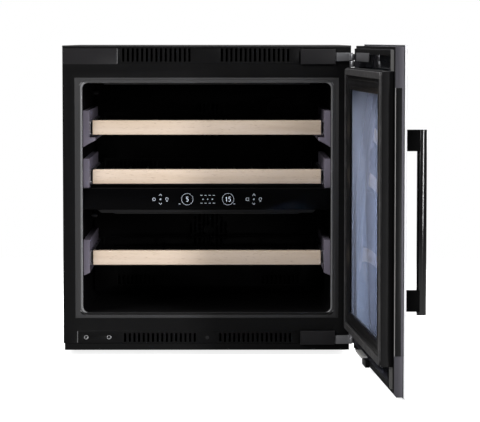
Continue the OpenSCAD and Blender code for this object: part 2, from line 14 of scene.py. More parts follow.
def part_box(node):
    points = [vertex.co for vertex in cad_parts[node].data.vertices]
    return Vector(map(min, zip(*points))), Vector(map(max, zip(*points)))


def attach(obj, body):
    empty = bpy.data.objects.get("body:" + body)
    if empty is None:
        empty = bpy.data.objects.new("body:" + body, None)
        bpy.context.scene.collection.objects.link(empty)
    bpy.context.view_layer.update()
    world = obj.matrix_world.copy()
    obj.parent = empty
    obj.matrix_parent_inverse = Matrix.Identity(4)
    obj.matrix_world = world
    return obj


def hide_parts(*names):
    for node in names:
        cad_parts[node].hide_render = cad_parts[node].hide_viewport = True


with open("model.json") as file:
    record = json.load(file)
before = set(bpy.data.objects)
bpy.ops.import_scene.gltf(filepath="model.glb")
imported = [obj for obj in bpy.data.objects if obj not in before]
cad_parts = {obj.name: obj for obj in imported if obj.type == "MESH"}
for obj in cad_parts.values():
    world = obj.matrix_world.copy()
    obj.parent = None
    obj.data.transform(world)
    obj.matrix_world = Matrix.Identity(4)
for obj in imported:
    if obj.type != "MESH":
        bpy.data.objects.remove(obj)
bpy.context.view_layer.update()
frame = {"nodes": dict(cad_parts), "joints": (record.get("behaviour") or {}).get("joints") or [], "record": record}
MM = 0.001

RECORD = frame["record"]
BODY_OF = {node: body for body, nodes in RECORD["behaviour"]["bodies"].items() for node in nodes}
SLOT_OF = {node: obj.material_slots[0].material.name for node, obj in frame["nodes"].items()}
HINGE = next(j for j in frame["joints"] if j["name"] == "door_hinge")
PIVOT = Vector(HINGE["pos_m"])
# turns a door piece from closed to the way the door rests; SHUT turns it back
OPEN = (
    Matrix.Translation(PIVOT)
    @ Matrix.Rotation(math.radians(-HINGE["range_deg"][0]), 4, "Z")
    @ Matrix.Translation(-PIVOT)
)
SHUT = OPEN.inverted()


def closed_box(node):
    """Lowest and highest corner of a door node as it stands when the door is closed."""
    points = [SHUT @ v.co for v in frame["nodes"][node].data.vertices]
    low = Vector(min(p[i] for p in points) for i in range(3))
    high = Vector(max(p[i] for p in points) for i in range(3))
    return low, high


# ---------------------------------------------------------------- camera, floor and light

# a long lens well in front, level with the cabinet's top and looking slightly down
CAMERA_AT = (0.0397, -4.632, 0.6109)
CAMERA_TILT = math.radians(4.079)
CAMERA_TURN = math.radians(0.302)
CAMERA_REACH = 100
LENS_MM = 180.1
# name: where it stands, what it faces, its width and height, and its watts
LIGHTS = {
    "key_left": ((-2.6, -2.6, 2.4), (0, 0, 0.3), (1.4, 2.0), 92),
    "strip_right": ((1.75, -3.2, 1.2), (0.3, -0.4, 0.3), (0.3, 2.6), 80),
    "top": ((0, 0.6, 3.2), (0, 0.2, 0), (3.0, 3.0), 150),
    "behind_right": ((1.9, 1.7, 1.3), (0.3, -0.3, 0.3), (1.2, 1.8), 40),
}
# what the surroundings give as light, and how bright they look
WORLD_LIGHT, WORLD_LOOK = 0.07, 1.0
FLOOR_LIGHT, FLOOR_LOOK = 0.08, 0.85
FLOOR_R = 2.4


def make_camera():
    data = bpy.data.cameras.new("camera")
    data.lens = LENS_MM
    data.clip_end = CAMERA_REACH
    camera = bpy.data.objects.new("camera", data)
    camera.matrix_world = (
        Matrix.Translation(CAMERA_AT)
        @ Matrix.Rotation(-CAMERA_TURN, 4, "Z")
        @ Matrix.Rotation(math.pi / 2 - CAMERA_TILT, 4, "X")
    )
    bpy.context.scene.collection.objects.link(camera)
    bpy.context.scene.camera = camera


def make_light(name, at, target, size, watts):
    data = bpy.data.lights.new(name, "AREA")
    data.shape = "RECTANGLE"
    data.size, data.size_y = size
    data.energy = watts
    light = bpy.data.objects.new(name, data)
    light.location = at
    light.rotation_mode = "QUATERNION"
    light.rotation_quaternion = (Vector(target) - Vector(at)).to_track_quat("-Z", "Y")
    bpy.context.scene.collection.objects.link(light)


def when_seen(tree, unseen, seen):
    """A value for what the camera sees, directly or through glass, and another for its light."""
    path = tree.nodes.new("ShaderNodeLightPath")
    either = tree.nodes.new("ShaderNodeMath")
    either.operation = "MAXIMUM"
    tree.links.new(path.outputs["Is Camera Ray"], either.inputs[0])
    tree.links.new(path.outputs["Is Transmission Ray"], either.inputs[1])
    level = tree.nodes.new("ShaderNodeMapRange")
    level.inputs["To Min"].default_value = unseen
    level.inputs["To Max"].default_value = seen
    tree.links.new(either.outputs[0], level.inputs["Value"])
    return level.outputs["Result"]


def make_world():
    """White to look at, and dim as a source of light."""
    world = bpy.data.worlds.new("studio")
    bpy.context.scene.world = world
    world.use_nodes = True
    background = world.node_tree.nodes["Background"]
    background.inputs["Color"].default_value = (1, 1, 1, 1)
    strength = when_seen(world.node_tree, WORLD_LIGHT, WORLD_LOOK)
    world.node_tree.links.new(strength, background.inputs["Strength"])


def make_floor():
    floor_mesh = bpy.data.meshes.new("floor")
    bm = bmesh.new()
    bmesh.ops.create_circle(bm, cap_ends=True, radius=FLOOR_R, segments=96)
    bm.to_mesh(floor_mesh)
    bm.free()
    floor = bpy.data.objects.new("floor", floor_mesh)
    floor_mesh.materials.append(pale_floor())
    bpy.context.scene.collection.objects.link(floor)


def make_studio():
    bpy.context.scene.view_settings.view_transform = "Standard"
    make_world()
    for name, (at, target, size, watts) in LIGHTS.items():
        make_light(name, at, target, size, watts)
    make_floor()


# ---------------------------------------------------------------- material building blocks

# the axis that a grain or brushing runs along
ACROSS = (1, 0, 0)
UPRIGHT = (0, 0, 1)


class Surface:
    """A node material: its shader's own sockets, and the textures linked into them."""

    def __init__(self, name, colour, rough, **sockets):
        self.material = bpy.data.materials.new(name)
        self.material.use_nodes = True
        self.tree = self.material.node_tree
        self.shader = self.tree.nodes["Principled BSDF"]
        self.set("Base Color", (*colour, 1))
        self.set("Roughness", rough)
        for key, value in sockets.items():
            self.set(key.replace("_", " "), value)

    def set(self, socket, value):
        self.shader.inputs[socket].default_value = value

    def add(self, kind, **inputs):
        node = self.tree.nodes.new(kind)
        for key, value in inputs.items():
            node.inputs[key.replace("_", " ")].default_value = value
        return node

    def link(self, output, node_input):
        self.tree.links.new(output, node_input)

    def place(self, stretch=(1, 1, 1)):
        coordinate = self.add("ShaderNodeTexCoord")
        mapping = self.add("ShaderNodeMapping", Scale=stretch)
        self.link(coordinate.outputs["Object"], mapping.inputs["Vector"])
        return mapping.outputs["Vector"]

    def noise(self, scale, detail=3.0, stretch=(1, 1, 1), distortion=0.0):
        node = self.add("ShaderNodeTexNoise", Scale=scale, Detail=detail, Distortion=distortion)
        self.link(self.place(stretch), node.inputs["Vector"])
        return node.outputs["Fac"]

    def cells(self, scale, output="Distance", stretch=(1, 1, 1)):
        node = self.add("ShaderNodeTexVoronoi", Scale=scale)
        self.link(self.place(stretch), node.inputs["Vector"])
        return node.outputs[output]

    def level(self, value, low, high, to_low=0.0, to_high=1.0):
        node = self.add(
            "ShaderNodeMapRange", From_Min=low, From_Max=high, To_Min=to_low, To_Max=to_high
        )
        self.link(value, node.inputs["Value"])
        return node.outputs["Result"]

    def colours(self, factor, first, second):
        """A colour socket that runs from first to second; each is a colour or a socket."""
        node = self.tree.nodes.new("ShaderNodeMix")
        node.data_type = "RGBA"
        self.link(factor, node.inputs["Factor"])
        for end, value in (("A", first), ("B", second)):
            socket = next(s for s in node.inputs if s.name == end and s.type == "RGBA")
            if isinstance(value, tuple):
                socket.default_value = (*value, 1)
            else:
                self.link(value, socket)
        return next(s for s in node.outputs if s.type == "RGBA")

    def paint(self, socket):
        self.link(socket, self.shader.inputs["Base Color"])

    def roughen(self, value, low, high):
        """Roughness from low to high over the middle of a texture's range."""
        self.link(self.level(value, 0.3, 0.7, low, high), self.shader.inputs["Roughness"])

    def bump(self, *layers):
        """Each layer is a height socket from 0 to 1 and its depth in metres."""
        normal = None
        for height, depth in layers:
            node = self.add("ShaderNodeBump", Strength=1.0, Distance=depth)
            self.link(height, node.inputs["Height"])
            if normal is not None:
                self.link(normal, node.inputs["Normal"])
            normal = node.outputs["Normal"]
        self.link(normal, self.shader.inputs["Normal"])


def shade(colour, factor):
    """The colour made darker or lighter, and never over white."""
    return tuple(min(1.0, c * factor) for c in colour)


def moulded(name, colour, rough, grain=2200.0, depth=0.03 * MM, **sockets):
    """Injection-moulded plastic: a fine even grain, faint clouding, and patches of gloss."""
    surface = Surface(name, colour, rough, **sockets)
    clouds = surface.noise(7, 3)
    surface.paint(surface.colours(clouds, shade(colour, 0.9), shade(colour, 1.1)))
    surface.roughen(surface.noise(38, 4), rough - 0.025, rough + 0.025)
    surface.bump((surface.noise(grain, 2), depth))
    return surface.material


def powder_coat(name, colour, rough):
    """Powder-coated sheet steel: orange peel under a satin skin, dust-fine speckle."""
    surface = Surface(name, colour, rough, Specular_IOR_Level=0.16)
    speckle = surface.level(surface.noise(1600, 2), 0.35, 0.7)
    surface.paint(surface.colours(speckle, shade(colour, 0.8), shade(colour, 1.35)))
    surface.roughen(surface.noise(24, 4), rough - 0.015, rough + 0.02)
    surface.bump((surface.noise(420, 3), 0.09 * MM))
    return surface.material


def brushed(name, colour, rough, along, metal=1.0):
    """Metal with fine lines along one axis, and broader ones in its polish."""
    surface = Surface(name, colour, rough, Metallic=metal)
    stretch = tuple(0.02 if a else 1.0 for a in along)
    fineness = 2600.0
    lines = surface.noise(fineness, 3, stretch)
    surface.paint(surface.colours(lines, shade(colour, 0.82), shade(colour, 1.12)))
    surface.roughen(surface.noise(fineness / 3, 3, stretch), rough - 0.07, rough + 0.09)
    surface.bump((lines, 0.015 * MM))
    return surface.material


def zinc(name, colour, rough, spangle=120.0):
    """Zinc-plated or galvanised steel: crystals of slightly different brightness."""
    surface = Surface(name, colour, rough, Metallic=1.0)
    crystals = surface.cells(spangle, "Color")
    split = surface.add("ShaderNodeSeparateColor")
    surface.link(crystals, split.inputs["Color"])
    surface.paint(surface.colours(split.outputs["Red"], shade(colour, 0.75), shade(colour, 1.12)))
    surface.roughen(surface.noise(60, 4), rough - 0.08, rough + 0.12)
    surface.bump((surface.noise(900, 3), 0.012 * MM))
    return surface.material


def rubber(name, colour, rough, sheen):
    """Moulded rubber: matt, with fine pits and a dusty bloom in patches."""
    surface = Surface(
        name, colour, rough, Sheen_Weight=sheen, Sheen_Roughness=0.6, Specular_IOR_Level=0.25
    )
    bloom = surface.level(surface.noise(45, 5), 0.4, 0.75)
    surface.paint(surface.colours(bloom, colour, shade(colour, 1.8)))
    surface.roughen(surface.noise(70, 3), rough - 0.08, rough + 0.1)
    surface.bump((surface.noise(1500, 3), 0.05 * MM))
    return surface.material


def beech(name, along):
    """Planed beech: long soft streaks, growth bands and short darker flecks along one axis."""
    pale, warm, fleck = (0.90, 0.735, 0.595), (0.79, 0.62, 0.47), (0.54, 0.38, 0.25)
    surface = Surface(name, pale, 0.55, Coat_Weight=0.08, Coat_Roughness=0.4)
    slow = tuple(0.05 if a else 1.0 for a in along)
    short = tuple(0.12 if a else 1.0 for a in along)
    streaks = surface.level(surface.noise(70, 5, slow, 0.4), 0.34, 0.68)
    bands = surface.level(surface.noise(14, 3, slow, 1.2), 0.35, 0.65)
    flecks = surface.level(surface.noise(900, 2, short), 0.60, 0.74)
    ground = surface.colours(streaks, pale, warm)
    banded = surface.colours(surface.level(bands, 0, 1, 0, 0.35), ground, shade(warm, 0.92))
    surface.paint(surface.colours(surface.level(flecks, 0, 1, 0, 0.55), banded, fleck))
    surface.roughen(streaks, 0.5, 0.64)
    surface.bump((streaks, 0.05 * MM), (flecks, 0.03 * MM))
    return surface.material


def sheet_glass(name, tint, ior, **sockets):
    """Float glass: a faint roller wave and a trace of dust in the gloss."""
    surface = Surface(name, tint, 0.0, Transmission_Weight=1.0, IOR=ior, **sockets)
    surface.paint(surface.colours(surface.noise(5, 2), shade(tint, 0.97), shade(tint, 1.02)))
    dust = surface.level(surface.noise(260, 4), 0.62, 0.8, 0.0, 0.01)
    surface.link(dust, surface.shader.inputs["Roughness"])
    surface.bump((surface.noise(9, 2), 0.004 * MM))
    return surface.material


def glowing(name, colour, strength):
    """A lit legend or diffuser, a little uneven along its length."""
    surface = Surface(name, colour, 0.4, Emission_Strength=strength)
    uneven = surface.colours(surface.noise(30, 2), shade(colour, 0.8), colour)
    surface.paint(uneven)
    surface.link(uneven, surface.shader.inputs["Emission Color"])
    return surface.material


def foam_block(name):
    """Poured polyurethane foam: pale yellow, open cells."""
    surface = Surface(name, (0.72, 0.58, 0.30), 0.9)
    cells = surface.cells(420)
    surface.paint(surface.colours(cells, (0.80, 0.67, 0.38), (0.55, 0.42, 0.20)))
    surface.bump((cells, 0.5 * MM))
    return surface.material


def circuit(name):
    """A green solder mask over darker tracks."""
    surface = Surface(name, (0.02, 0.16, 0.06), 0.35, Coat_Weight=0.4, Coat_Roughness=0.15)
    tracks = surface.level(surface.cells(260, "Distance", (1, 1, 0.2)), 0.28, 0.34)
    surface.paint(surface.colours(tracks, (0.015, 0.10, 0.04), (0.03, 0.20, 0.08)))
    surface.bump((tracks, 0.03 * MM))
    return surface.material


def charcoal(name):
    """Granules of carbon behind a fleece."""
    surface = Surface(name, (0.03, 0.03, 0.032), 0.9)
    grains = surface.cells(700)
    surface.paint(surface.colours(grains, (0.06, 0.06, 0.065), (0.012, 0.012, 0.013)))
    surface.bump((grains, 0.4 * MM))
    return surface.material


def pale_floor():
    """A white sweep that fades out towards its rim, so that it has no horizon.

    It lights the object less than it shows, as a floor far larger than its lamps would.
    """
    surface = Surface("pale_floor", (0.9, 0.9, 0.9), 0.8, Specular_IOR_Level=0.1)
    white = surface.colours(surface.noise(3, 3), (0.89, 0.89, 0.89), (0.91, 0.91, 0.91))
    surface.paint(surface.colours(when_seen(surface.tree, 0, 1), (0.22, 0.22, 0.22), white))
    surface.set("Emission Color", (1, 1, 1, 1))
    glow = when_seen(surface.tree, FLOOR_LIGHT, FLOOR_LOOK)
    surface.link(glow, surface.shader.inputs["Emission Strength"])
    reach = surface.add("ShaderNodeVectorMath")
    reach.operation = "LENGTH"
    surface.link(surface.place(), reach.inputs[0])
    fade = surface.level(reach.outputs["Value"], 0.35 * FLOOR_R, 0.9 * FLOOR_R, 1.0, 0.0)
    surface.link(fade, surface.shader.inputs["Alpha"])
    return surface.material


# each is the finish of a record's slot, or of a part of a node that differs from its slot
MATERIALS = {
    "black_steel": powder_coat("black_powder_coat", (0.0045, 0.0045, 0.0047), 0.45),
    # the top cap's black powder coat painted twice as light, as a painted highlight along its top edge
    "cap_painted_highlight": powder_coat("cap_highlight_coat", (0.009, 0.009, 0.0094), 0.4),
    "black_plastic": moulded(
        "satin_black_plastic", (0.0046, 0.0045, 0.0048), 0.38, Specular_IOR_Level=0.14
    ),
    "cover_plastic": moulded(
        "cover_moulding", (0.018, 0.0172, 0.0186), 0.36, Specular_IOR_Level=0.25
    ),
    "liner_plastic": moulded("liner_moulding", (0.040, 0.0395, 0.041), 0.42, grain=1500.0),
    # a light copy of the liner plastic: a painted highlight on the roll's sides and on the grille seams
    "rim_painted_highlight": moulded(
        "rim_highlight_paint", (0.20, 0.20, 0.205), 0.26, grain=1500.0, Coat_Weight=0.3
    ),
    # near black painted shade for the liner inside the cooled space and for the door frame's foot and back
    "painted_shade_black": moulded(
        "painted_shade_black", (0.0028, 0.0027, 0.003), 0.6, Specular_IOR_Level=0.12
    ),
    # the divider's own finish, also used as painted shade on the bottom of the liner's roll
    "divider": moulded(
        "divider_moulding", (0.0075, 0.0073, 0.0078), 0.45, Specular_IOR_Level=0.2
    ),
    "rail_plastic": moulded("rail_moulding", (0.22, 0.195, 0.25), 0.5),
    "bare_steel": brushed("pressed_steel", (0.30, 0.30, 0.315), 0.42, ACROSS, 0.85),
    "fastener_steel": zinc("fastener_zinc", (0.66, 0.66, 0.68), 0.3, 900.0),
    "slide_steel": zinc("slide_zinc", (0.60, 0.58, 0.64), 0.28, 500.0),
    "rack_steel": powder_coat("rack_coating", (0.005, 0.005, 0.0052), 0.45),
    "foam": foam_block("poured_foam"),
    "galvanised_sheet": zinc("galvanised_steel", (0.50, 0.51, 0.53), 0.36, 90.0),
    "foot_rubber": rubber("moulded_rubber", (0.010, 0.010, 0.010), 0.72, 0.12),
    "control_glass": moulded(
        "panel_glass", (0.0018, 0.0018, 0.0021), 0.2, 60.0, 0.002 * MM, Specular_IOR_Level=0.05
    ),
    "circuit_board": circuit("solder_mask"),
    "evaporator_aluminium": brushed("mill_aluminium", (0.72, 0.73, 0.75), 0.38, ACROSS),
    "fan_plastic": moulded("fan_moulding", (0.018, 0.018, 0.020), 0.45),
    "charcoal_filter": charcoal("charcoal"),
    "led_diffuser": moulded("smoked_diffuser", (0.010, 0.010, 0.011), 0.3),
    "probe_plastic": moulded("probe_moulding", (0.020, 0.020, 0.022), 0.45),
    "compressor_paint": powder_coat("compressor_enamel", (0.010, 0.010, 0.011), 0.3),
    "copper": brushed("copper_tube", (0.72, 0.33, 0.18), 0.3, UPRIGHT),
    "beech": beech("beech_across", ACROSS),
    "tinted_glass": sheet_glass("grey_float_glass", (0.66, 0.70, 0.77), 1.42),
    # near white painted light, for the light that comes through the glass's ground edges
    "edge_painted_light": moulded(
        "ground_edge_painted_light", (0.92, 0.92, 0.98), 0.3, 3000.0, Coat_Weight=0.3
    ),
    "glass_print": moulded(
        "black_glass_print", (0.003, 0.003, 0.0034), 0.6, 60.0, 0.001 * MM,
        Specular_IOR_Level=0.03,
    ),
    "print_back": moulded("grey_print_back", (0.03, 0.03, 0.034), 0.5),
    "clear_glass": sheet_glass(
        "coated_glass", (0.68, 0.75, 0.87), 1.12,
        Sheen_Weight=0.62, Sheen_Roughness=0.35, Sheen_Tint=(0.48, 0.53, 0.70, 1),
    ),
    "door_frame_aluminium": brushed(
        "anodised_aluminium", (0.094, 0.090, 0.105), 0.42, UPRIGHT, 0.6
    ),
    # painted highlight: a near white plate for the light that falls on the hinge shelf's top
    "plate_painted_highlight": brushed("zinc_plate_highlight_paint", (0.74, 0.73, 0.71), 0.4, ACROSS, 0.25),
    # painted highlight: a light aluminium on the door frame's carrier side and on its inner bead
    "edge_painted_highlight": brushed("anodised_highlight_paint", (0.27, 0.265, 0.26), 0.4, UPRIGHT, 0.2),
    "trim_black": moulded(
        "trim_moulding", (0.0045, 0.0045, 0.0048), 0.34, Specular_IOR_Level=0.2
    ),
    "door_plastic": moulded(
        "door_moulding", (0.0075, 0.0073, 0.0078), 0.34, Specular_IOR_Level=0.2
    ),
    "spacer_aluminium": brushed("spacer_bar", (0.45, 0.46, 0.48), 0.4, UPRIGHT),
    "gasket_rubber": rubber("gasket_vinyl", (0.042, 0.041, 0.042), 0.55, 0.0),
    "handle_black": moulded(
        "handle_anodised", (0.0009, 0.0009, 0.001), 0.2, 3500.0, 0.004 * MM, IOR=1.75
    ),
    "standoff": moulded(
        "standoff_anodised", (0.0009, 0.0009, 0.001), 0.6, Specular_IOR_Level=0.03
    ),
    "socket_plastic": moulded("socket_moulding", (0.008, 0.008, 0.008), 0.5),
    "legend": glowing("lit_legend", (0.80, 0.87, 1.0), 0.55),
}


# ---------------------------------------------------------------- shape building blocks

# edges between faces that meet at more than this are rounded, or shown as sharp
ROUNDED_FROM = math.radians(30)
SHARP_FROM = math.radians(32)
# faces that meet at less than this are one flat face of the CAD
FLAT_WITHIN = math.radians(1)
# points closer than this are one point, in the meshes made here and in the CAD's
WELD = 0.002 * MM
CAD_WELD = 0.01 * MM


def add_piece(name, mesh, finishes, body, replaced=(), bevel=0.0, segments=2):
    """A finished piece of the object, which stands for the replaced CAD nodes.

    finishes are names in MATERIALS, in the order of the faces' numbers.
    bevel is the width of its rounded edges, in metres.
    """
    for finish in finishes:
        mesh.materials.append(MATERIALS[finish])
    mesh.shade_smooth()
    piece = bpy.data.objects.new(name, mesh)
    bpy.context.scene.collection.objects.link(piece)
    if bevel:
        edges = piece.modifiers.new("edges", "BEVEL")
        edges.width = bevel
        edges.segments = segments
        edges.limit_method = "ANGLE"
        edges.angle_limit = ROUNDED_FROM
        edges.harden_normals = True
    else:
        mesh.set_sharp_from_angle(angle=SHARP_FROM)
    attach(piece, body)
    if replaced:
        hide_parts(*replaced)
    return piece


def to_mesh(name, bm, turned=None):
    """The finished mesh of bm, turned by a matrix if one is given."""
    bmesh.ops.remove_doubles(bm, verts=bm.verts, dist=WELD)
    bmesh.ops.recalc_face_normals(bm, faces=bm.faces)
    mesh = bpy.data.meshes.new(name)
    bm.to_mesh(mesh)
    bm.free()
    if turned is not None:
        mesh.transform(turned)
    return mesh


def refined(node, finishes, bevel, segments, where=None):
    """A CAD node's shape with clean flat faces and rounded edges.

    where gives the number of a face's finish from its centre and normal.
    """
    bm = bmesh.new()
    bm.from_mesh(frame["nodes"][node].data)
    bmesh.ops.remove_doubles(bm, verts=bm.verts, dist=CAD_WELD)
    bmesh.ops.dissolve_limit(
        bm, angle_limit=FLAT_WITHIN, verts=bm.verts, edges=bm.edges, delimit=set()
    )
    if where:
        for face in bm.faces:
            face.material_index = where(face.calc_center_median(), face.normal)
    mesh = bpy.data.meshes.new(node)
    bm.to_mesh(mesh)
    bm.free()
    add_piece(
        f"{node}_detail", mesh, finishes, BODY_OF[node], (node,), bevel, segments
    )


def add_box(bm, low, high, finish=0):
    """A box between two corners; finish is its faces' number."""
    corners = [
        bm.verts.new((x, y, z))
        for x in (low[0], high[0])
        for y in (low[1], high[1])
        for z in (low[2], high[2])
    ]
    for quad in (
        (0, 1, 3, 2), (4, 6, 7, 5), (0, 4, 5, 1), (2, 3, 7, 6), (0, 2, 6, 4), (1, 5, 7, 3)
    ):
        face = bm.faces.new([corners[i] for i in quad])
        face.material_index = finish


def add_lathe(bm, centre, axis, outline, sides):
    """A turned solid. outline is (distance along the axis, radius) from end to end."""
    aim = Vector(axis).normalized().to_track_quat("Z", "Y").to_matrix()
    rings = []
    for height, radius in outline:
        ring = []
        for k in range(sides):
            a = 2 * math.pi * k / sides
            local = Vector((radius * math.cos(a), radius * math.sin(a), height))
            ring.append(bm.verts.new(Vector(centre) + aim @ local))
        rings.append(ring)
    for lower, upper in zip(rings, rings[1:]):
        for k in range(sides):
            n = (k + 1) % sides
            bm.faces.new((lower[k], lower[n], upper[n], upper[k]))
    bm.faces.new(rings[0])
    bm.faces.new(rings[-1])


# each quarter of a round corner is this many straight steps, and no corner is quite sharp
CORNER_STEPS = 8
LEAST_RADIUS = 0.01 * MM


def rounded_rectangle(half_w, z0, z1, radius):
    """Points (x, z) round a rectangle with round corners, the same number at any radius."""
    points = []
    for index, (sx, z) in enumerate(((1, z1), (-1, z1), (-1, z0), (1, z0))):
        cx = sx * (half_w - radius)
        cz = z - radius if z == z1 else z + radius
        for k in range(CORNER_STEPS + 1):
            a = math.pi / 2 * (index + k / CORNER_STEPS)
            points.append((cx + radius * math.cos(a), cz + radius * math.sin(a)))
    return points


def add_loops(bm, loops):
    """Bridges loops of equal length into a closed ring; each loop is a list of 3-D points."""
    rings = [[bm.verts.new(p) for p in loop] for loop in loops]
    for lower, upper in zip(rings, rings[1:] + rings[:1]):
        for k in range(len(lower)):
            n = (k + 1) % len(lower)
            bm.faces.new((lower[k], lower[n], upper[n], upper[k]))


def frame_ring(half_w, z0, z1, radius, section):
    """A frame swept round a rectangle, its section a closed outline of (outwards, depth y)."""
    bm = bmesh.new()
    loops = []
    for out, y in section:
        corner = max(radius + out, LEAST_RADIUS)
        outline = rounded_rectangle(half_w + out, z0 - out, z1 + out, corner)
        loops.append([(x, y, z) for x, z in outline])
    add_loops(bm, loops)
    return bm


# ---------------------------------------------------------------- parts carried over from the CAD

# node: width of its rounded edges in millimetres; 0 is smooth shading alone
EDGES = {
    "outer_shell": 0.8,
    "front_frame": 0.8,
    "top_cap": 0.5,
    "top_grille": 0.35,
    "front_covers": 1.3,
    "plinth_grille": 0.35,
    "base_pan": 0.5,
    "cabinet_hinge_brackets": 0.4,
    "hinge_pins": 0.5,
    "hinge_fasteners": 0.3,
    "liner": 0.3,
    "rear_panels": 0.2,
    "rear_feet": 0.6,
    "front_left_foot": 0.6,
    "front_right_foot": 0.6,
    "rail_brackets": 1.0,
    "slide_outer_members": 0.15,
    "zone_divider": 1.0,
    "control_glass": 0.5,
    "back_panels": 0.6,
    "circulation_fan_motors": 0.6,
    "upper_fan_rotor": 0.25,
    "lower_fan_rotor": 0.25,
    "charcoal_filter": 0.8,
    "led_strips": 1.2,
    "temperature_probes": 0.8,
    "compressor": 0.8,
    "compressor_grommets": 0.6,
    "condenser_fan_shroud": 0.5,
    "condenser_fan_rotor": 0.3,
    "drain_tray": 0.5,
    "refrigerant_pipes": 0,
    "power_inlet": 0.5,
    "slide_middle_upper": 0.12,
    "slide_middle_centre": 0.12,
    "slide_middle_lower": 0.12,
    "slide_inner_upper": 0.12,
    "slide_inner_centre": 0.12,
    "slide_inner_lower": 0.12,
    "shelf_board_upper": 1.6,
    "shelf_board_centre": 1.6,
    "shelf_board_lower": 1.6,
    "shelf_rack_upper": 0,
    "shelf_rack_centre": 0,
    "shelf_rack_lower": 0,
    "door_outer_frame": 0.6,
    "door_side_trim": 0.4,
    "door_inner_frame": 1.6,
    "door_panes": 0.3,
    "pane_spacer": 0.3,
    "door_hinge_plates": 0.5,
    "handle_bar": 1.2,
    "handle_standoffs": 0.6,
}
# an edge at least this wide is rounded in three steps, and a narrower one in two
WIDE_EDGE = 1
# nodes whose finish isn't the one of their slot; the top cap's is painted lighter as a highlight
FINISH = {"zone_divider": "divider", "handle_standoffs": "standoff", "top_cap": "cap_painted_highlight"}
# CAD nodes kept as they are, with a finished material
KEPT = ("insulation", "bay_bulkhead", "circuit_boards", "evaporators", "condenser")
# the back of the liner's front flange
FLANGE_BACK = 2.05 * MM
# on the closed door: the stop block's sides, its top, and the top of the shelf over it, which is painted light as
# a highlight
BLOCK_X = (11 * MM, 66.1 * MM)
BLOCK_TOP = 28 * MM
SHELF_TOP = 32 * MM
# on the closed door: what the carrier's side by the handle lies between, and the frame's foot
CARRIER_X = (-280 * MM, 0)
FRAME_FOOT = 30 * MM
# the least share of its normal along an axis for a face that is square to it, or leans to it
SQUARE, LEANING = 0.9, 0.3


def liner_part(at, normal):
    """1 inside the cooled space, painted darker as shade, and 0 on the front flange."""
    return int(at.y > FLANGE_BACK)


def hinge_plate_part(at, normal):
    """1 for the black stop block, 2 for the shelf above it, painted light as a highlight, 0 for the leaf."""
    closed = SHUT @ at
    if BLOCK_X[0] < closed.x < BLOCK_X[1] and closed.z < BLOCK_TOP:
        return 1
    return 2 if closed.z < SHELF_TOP else 0


def outer_frame_part(at, normal):
    """1 for the carrier's side by the handle, painted light as a highlight; 2 for the foot and back, painted dark
    as shade; 0 elsewhere.
    """
    closed, facing = SHUT @ at, SHUT.to_3x3() @ normal
    if facing.x < -SQUARE and CARRIER_X[0] < closed.x < CARRIER_X[1]:
        return 1
    under = closed.z < FRAME_FOOT and facing.z < -LEANING
    return 2 if under or facing.y > SQUARE else 0


# nodes of more than one finish: the others after the node's own, and what numbers a face
PAINTED = {
    "liner": (("painted_shade_black",), liner_part),
    "door_hinge_plates": (("trim_black", "plate_painted_highlight"), hinge_plate_part),
    "door_outer_frame": (("edge_painted_highlight", "painted_shade_black"), outer_frame_part),
}


def carry_over():
    for node, width in EDGES.items():
        others, where = PAINTED.get(node, ((), None))
        finishes = (FINISH.get(node, SLOT_OF[node]), *others)
        refined(node, finishes, width * MM, 3 if width >= WIDE_EDGE else 2, where)
    for node in KEPT:
        for slot in frame["nodes"][node].material_slots:
            slot.material = MATERIALS[SLOT_OF[node]]


# ---------------------------------------------------------------- cabinet details

# how far out from the opening the liner's rolled rim reaches, and how deep it shows
ROLL_OUT = 4 * MM
ROLL_DEEP = 0.5 * MM


def liner_lip():
    """The stepped rim that the liner rolls into round the opening.

    The roll is painted light as a highlight at the sides, left plain at the top and painted dark as shade at the
    bottom.
    """
    half_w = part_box("control_glass")[1].x
    liner_low, liner_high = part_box("liner")
    z0, z1 = liner_low.z + 10.3 * MM, liner_high.z - 9.4 * MM
    rise, dip = -1.3 * MM, 0.25 * MM
    section = [(-0.6 * MM, 4 * MM)]
    for k in range(9):
        a = math.pi * (1 - k / 8)
        section.append(((1.6 + 2.2 * math.cos(a)) * MM, rise * math.sin(a)))
    section += [
        (4.1 * MM, dip), (4.7 * MM, dip), (5.0 * MM, -0.35 * MM), (6.6 * MM, -0.45 * MM),
        (8.2 * MM, -0.35 * MM), (8.5 * MM, dip), (8.9 * MM, 1.2 * MM), (1.0 * MM, 4 * MM),
    ]
    bm = frame_ring(half_w, z0, z1, 12 * MM, section)
    # faces of the roll: the bottom takes the darker divider finish as painted shade, the sides the painted
    # highlight
    for face in bm.faces:
        at = face.calc_center_median()
        out = max(abs(at.x) - half_w, at.z - z1, z0 - at.z)
        if out < ROLL_OUT and at.z < z0 + 1 * MM:
            face.material_index = 2
        elif out < ROLL_OUT and at.y < ROLL_DEEP:
            face.material_index = int(at.z < z1)
    finishes = ("liner_plastic", "rim_painted_highlight", "divider")
    add_piece("liner_lip", to_mesh("liner_lip", bm), finishes, "cabinet")


SCREW_SIDES = 24
# shares of a screw head's height that its rim and its recess's floor are at
RIM, RECESS_FLOOR = 0.35, 0.45
# shares of its radius that its recess has at the mouth and at the floor
RECESS_MOUTH, RECESS_WIDTH = 0.42, 0.38


def screw(bm, centre, axis, radius, dome):
    """A pan-head screw with a shallow round recess in its domed head."""
    outline = [(0, radius), (RIM * dome, radius)]
    for k in range(1, 6):
        a = math.pi / 2 * k / 5
        height = dome * (RIM + (1 - RIM) * math.sin(a))
        outline.append((height, radius * max(math.cos(a), RECESS_MOUTH)))
    outline.append((RECESS_FLOOR * dome, radius * RECESS_WIDTH))
    add_lathe(bm, centre, axis, outline, SCREW_SIDES)


